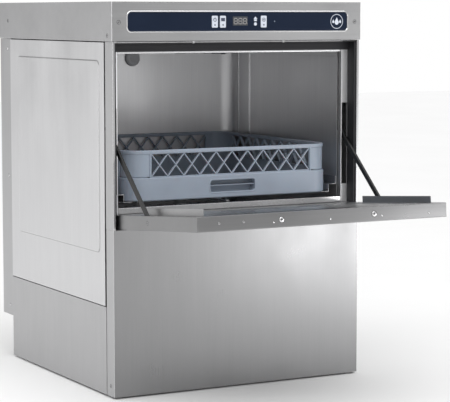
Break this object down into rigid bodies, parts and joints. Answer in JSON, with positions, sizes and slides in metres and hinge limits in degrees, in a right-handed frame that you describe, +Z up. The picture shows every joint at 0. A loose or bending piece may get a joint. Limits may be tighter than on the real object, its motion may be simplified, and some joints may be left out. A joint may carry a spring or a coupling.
{
  "type": "commercial dishwasher",
  "caption": "Undercounter commercial dishwasher in stainless steel, with a drop-down door on stay arms, a 500 mm class rack, spray arms, wash tank, pump and boiler.",
  "frame": {"origin": "middle of the bounding box underside, on the floor, with the door open as drawn", "axes": "+Z up, +Y from the door to the back of the machine, +X to the right seen from the front"},
  "size_m": [0.6, 0.9702, 0.824],
  "materials": {
    "steel": "satin stainless sheet, fine vertical grain",
    "polished": "smooth stainless sheet",
    "dark_steel": "darkened steel",
    "rubber": "matte black",
    "navy": "navy polyester film",
    "white_key": "pale satin key",
    "glass": "smoked display window",
    "circuit": "green laminate",
    "rack_blue": "light blue-grey polypropylene",
    "grey_plastic": "mid grey plastic",
    "pump_black": "black glass-filled plastic",
    "aluminium": "cast, bead blasted",
    "brass": "machined"
  },
  "bodies": {
    "cabinet": {"base_tray": "steel", "left_side_panel": "steel", "right_side_panel": "steel", "left_skirt": "steel", "right_skirt": "steel", "lower_front_panel": "steel", "rear_panel": "steel", "rear_cover": "steel", "top_cover": "steel", "control_fascia": "steel", "left_front_post": "steel", "right_front_post": "steel", "boiler_tank": "steel", "lintel": "polished", "door_sill": "polished", "left_chamber_wall": "polished", "right_chamber_wall": "polished", "back_chamber_wall": "polished", "chamber_roof": "polished", "wash_tank": "polished", "tank_filter": "polished", "left_rack_rail": "polished", "right_rack_rail": "polished", "tank_heater": "dark_steel", "left_hinge_pin": "dark_steel", "right_hinge_pin": "dark_steel", "front_left_foot": "rubber", "front_right_foot": "rubber", "rear_left_foot": "rubber", "rear_right_foot": "rubber", "door_seal": "rubber", "riser_pipe": "rubber", "control_overlay": "navy", "display_window": "glass", "control_board": "circuit", "back_wall_plug": "grey_plastic", "lower_spindle": "grey_plastic", "upper_spindle": "grey_plastic", "drain_pump": "grey_plastic", "detergent_pump": "grey_plastic", "rinse_aid_pump": "grey_plastic", "terminal_box": "grey_plastic", "wash_pump_housing": "pump_black", "cable_gland": "pump_black", "wash_pump_motor": "aluminium", "boiler_heater": "brass", "inlet_valve": "brass"},
    "door": {"door_outer_panel": "steel", "door_inner_panel": "polished"},
    "left_stay": {"left_stay_arm": "dark_steel"},
    "right_stay": {"right_stay_arm": "dark_steel"},
    "rack": {"rack": "rack_blue"},
    "lower_wash_arm": {"lower_wash_arm": "polished"},
    "lower_rinse_arm": {"lower_rinse_arm": "polished"},
    "upper_wash_arm": {"upper_wash_arm": "polished"},
    "upper_rinse_arm": {"upper_rinse_arm": "polished"},
    "standpipe": {"overflow_standpipe": "grey_plastic"},
    "power_button": {"power_button": "white_key"},
    "cycle_button": {"cycle_button": "white_key"},
    "drain_button": {"drain_button": "white_key"}
  },
  "joints": [
    {"name": "door_hinge", "type": "hinge", "parent": "cabinet", "child": "door", "pos_m": [0, -0.12138, 0.37], "axis": [-1, 0, 0], "range_deg": [0, 85]},
    {"name": "left_stay_hinge", "type": "hinge", "parent": "door", "child": "left_stay", "pos_m": [-0.28, -0.26567, 0.38664], "axis": [1, 0, 0], "range_deg": [0, 85]},
    {"name": "right_stay_hinge", "type": "hinge", "parent": "door", "child": "right_stay", "pos_m": [0.28, -0.26567, 0.38664], "axis": [1, 0, 0], "range_deg": [0, 85]},
    {"name": "rack_slide", "type": "slide", "parent": "cabinet", "child": "rack", "axis": [0, 1, 0], "range_m": [-0.26, 0]},
    {"name": "lower_wash_arm_spin", "type": "hinge", "parent": "cabinet", "child": "lower_wash_arm", "pos_m": [0, 0.14662, 0.387], "axis": [0, 0, 1], "continuous": true},
    {"name": "lower_rinse_arm_spin", "type": "hinge", "parent": "cabinet", "child": "lower_rinse_arm", "pos_m": [0, 0.14662, 0.397], "axis": [0, 0, 1], "continuous": true},
    {"name": "upper_wash_arm_spin", "type": "hinge", "parent": "cabinet", "child": "upper_wash_arm", "pos_m": [0, 0.14662, 0.728], "axis": [0, 0, 1], "continuous": true},
    {"name": "upper_rinse_arm_spin", "type": "hinge", "parent": "cabinet", "child": "upper_rinse_arm", "pos_m": [0, 0.14662, 0.717], "axis": [0, 0, 1], "continuous": true},
    {"name": "standpipe_lift", "type": "slide", "parent": "cabinet", "child": "standpipe", "axis": [0, 0, 1], "range_m": [0, 0.025]},
    {"name": "power_button_press", "type": "slide", "parent": "cabinet", "child": "power_button", "axis": [0, 1, 0], "range_m": [0, 0.0015], "stiffness_N_per_m": 400},
    {"name": "cycle_button_press", "type": "slide", "parent": "cabinet", "child": "cycle_button", "axis": [0, 1, 0], "range_m": [0, 0.0015], "stiffness_N_per_m": 400},
    {"name": "drain_button_press", "type": "slide", "parent": "cabinet", "child": "drain_button", "axis": [0, 1, 0], "range_m": [0, 0.0015], "stiffness_N_per_m": 400}
  ],
  "couplings": [
    {"joint": "left_stay_hinge", "follows": "door_hinge", "ratio": 1},
    {"joint": "right_stay_hinge", "follows": "door_hinge", "ratio": 1}
  ]
}
